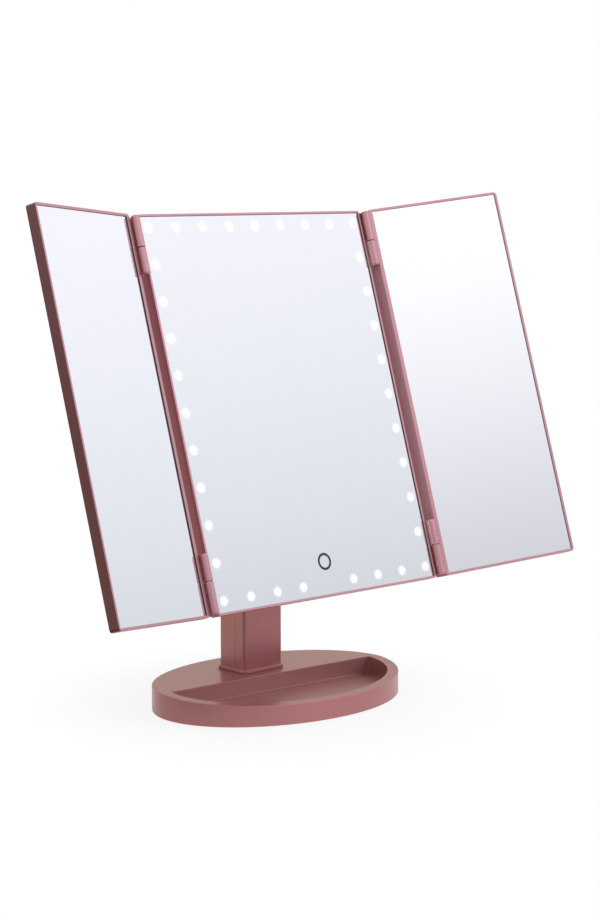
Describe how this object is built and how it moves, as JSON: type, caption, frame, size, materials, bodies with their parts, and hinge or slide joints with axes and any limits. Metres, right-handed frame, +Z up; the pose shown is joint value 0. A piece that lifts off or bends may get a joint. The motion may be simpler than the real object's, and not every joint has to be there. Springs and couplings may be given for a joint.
{
  "type": "trifold vanity mirror",
  "caption": "Trifold make-up mirror: a lit centre panel with a touch ring and two folding mirror wings, tilting and turning on a post and an oval base with a tray.",
  "frame": {"origin": "centre of the oval base's underside, on the surface the mirror stands on", "axes": "+Z up, -Y towards the person in front of the mirror, +X along the base's long axis, to that person's right"},
  "size_m": [0.431, 0.1705, 0.365],
  "materials": {
    "rose_gold": "satin metallic rose-gold paint",
    "mirror": "silvered glass, polished",
    "light_window": "frosted, lit from behind",
    "touch_ring": "dark printed ring",
    "steel": "zinc plated",
    "ballast": "bare plate",
    "rubber": "matte",
    "nylon": "matte",
    "foam_tape": "matte foam",
    "circuit_board": "solder mask",
    "led": "moulded package",
    "battery": "printed sleeve, plain",
    "wire": "insulated"
  },
  "bodies": {
    "base": {"base_shell": "rose_gold", "base_plate": "rose_gold", "base_pad": "rubber", "base_screws": "steel", "base_weight": "ballast", "swivel_bush": "nylon"},
    "post": {"post_foot": "rose_gold", "swivel_washer": "nylon", "swivel_plate": "steel", "swivel_screw": "steel", "post_front_shell": "rose_gold", "post_rear_shell": "rose_gold", "post_screws": "steel", "tilt_bolt": "steel", "tilt_nut": "steel", "tilt_caps": "rose_gold"},
    "head": {"tilt_bracket": "rose_gold", "tilt_washers": "nylon", "bracket_screws": "steel", "centre_frame": "rose_gold", "centre_mirror": "mirror", "centre_tape": "foam_tape", "light_windows": "light_window", "touch_ring": "touch_ring", "led_board": "circuit_board", "leds": "led", "touch_sensor": "circuit_board", "rear_cover": "rose_gold", "battery_door": "rose_gold", "battery_cells": "battery", "battery_springs": "steel", "battery_plates": "steel", "control_board": "circuit_board", "power_inlet": "steel", "cover_screws": "steel", "head_wiring": "wire"},
    "left_wing": {"left_wing_frame": "rose_gold", "left_wing_mirror": "mirror", "left_wing_tape": "foam_tape", "left_wing_back": "rose_gold", "left_hinge_pins": "steel"},
    "right_wing": {"right_wing_frame": "rose_gold", "right_wing_mirror": "mirror", "right_wing_tape": "foam_tape", "right_wing_back": "rose_gold", "right_hinge_pins": "steel"}
  },
  "joints": [
    {"name": "post_swivel", "type": "hinge", "parent": "base", "child": "post", "pos_m": [0, 0.0312, 0.0185], "axis": [0, 0, 1], "range_deg": [-93.3, 86.7]},
    {"name": "head_tilt", "type": "hinge", "parent": "post", "child": "head", "pos_m": [0, 0.0312, 0.2266], "axis": [-0.9983, -0.0576, 0], "range_deg": [-17.5, 72.5]},
    {"name": "left_wing_fold", "type": "hinge", "parent": "head", "child": "left_wing", "pos_m": [-0.10587, -0.02268, 0.21867], "axis": [-0.0173, 0.3002, 0.9537], "range_deg": [-17.8, 162.2]},
    {"name": "right_wing_fold", "type": "hinge", "parent": "head", "child": "right_wing", "pos_m": [0.11137, -0.01015, 0.21867], "axis": [0.0173, -0.3002, -0.9537], "range_deg": [-24.9, 155.1]}
  ]
}
